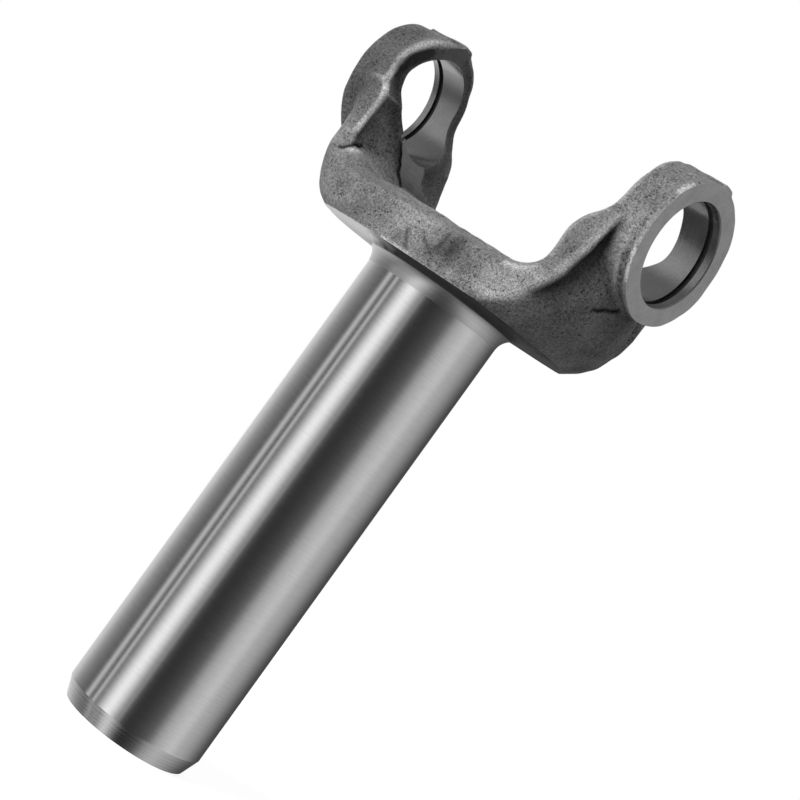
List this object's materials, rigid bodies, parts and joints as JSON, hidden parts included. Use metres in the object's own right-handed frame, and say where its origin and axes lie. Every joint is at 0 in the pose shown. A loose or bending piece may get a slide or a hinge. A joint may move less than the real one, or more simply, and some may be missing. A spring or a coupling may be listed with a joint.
{
  "type": "forged slip yoke",
  "caption": "Driveshaft slip yoke: a ground barrel with an internal spline carries a forged fork bored for a universal joint cross.",
  "frame": {"origin": "centre of the barrel's open end face, on the barrel axis", "axes": "+Z along the barrel axis towards the fork, +X along the cross bores, +Y square to both"},
  "size_m": [0.0996, 0.055, 0.1892],
  "materials": {
    "forged_steel": "as forged, with machined bores and a ground barrel",
    "plug_steel": "satin pressed sheet"
  },
  "bodies": {
    "root": {"yoke": "forged_steel", "expansion_plug": "plug_steel"}
  },
  "joints": []
}
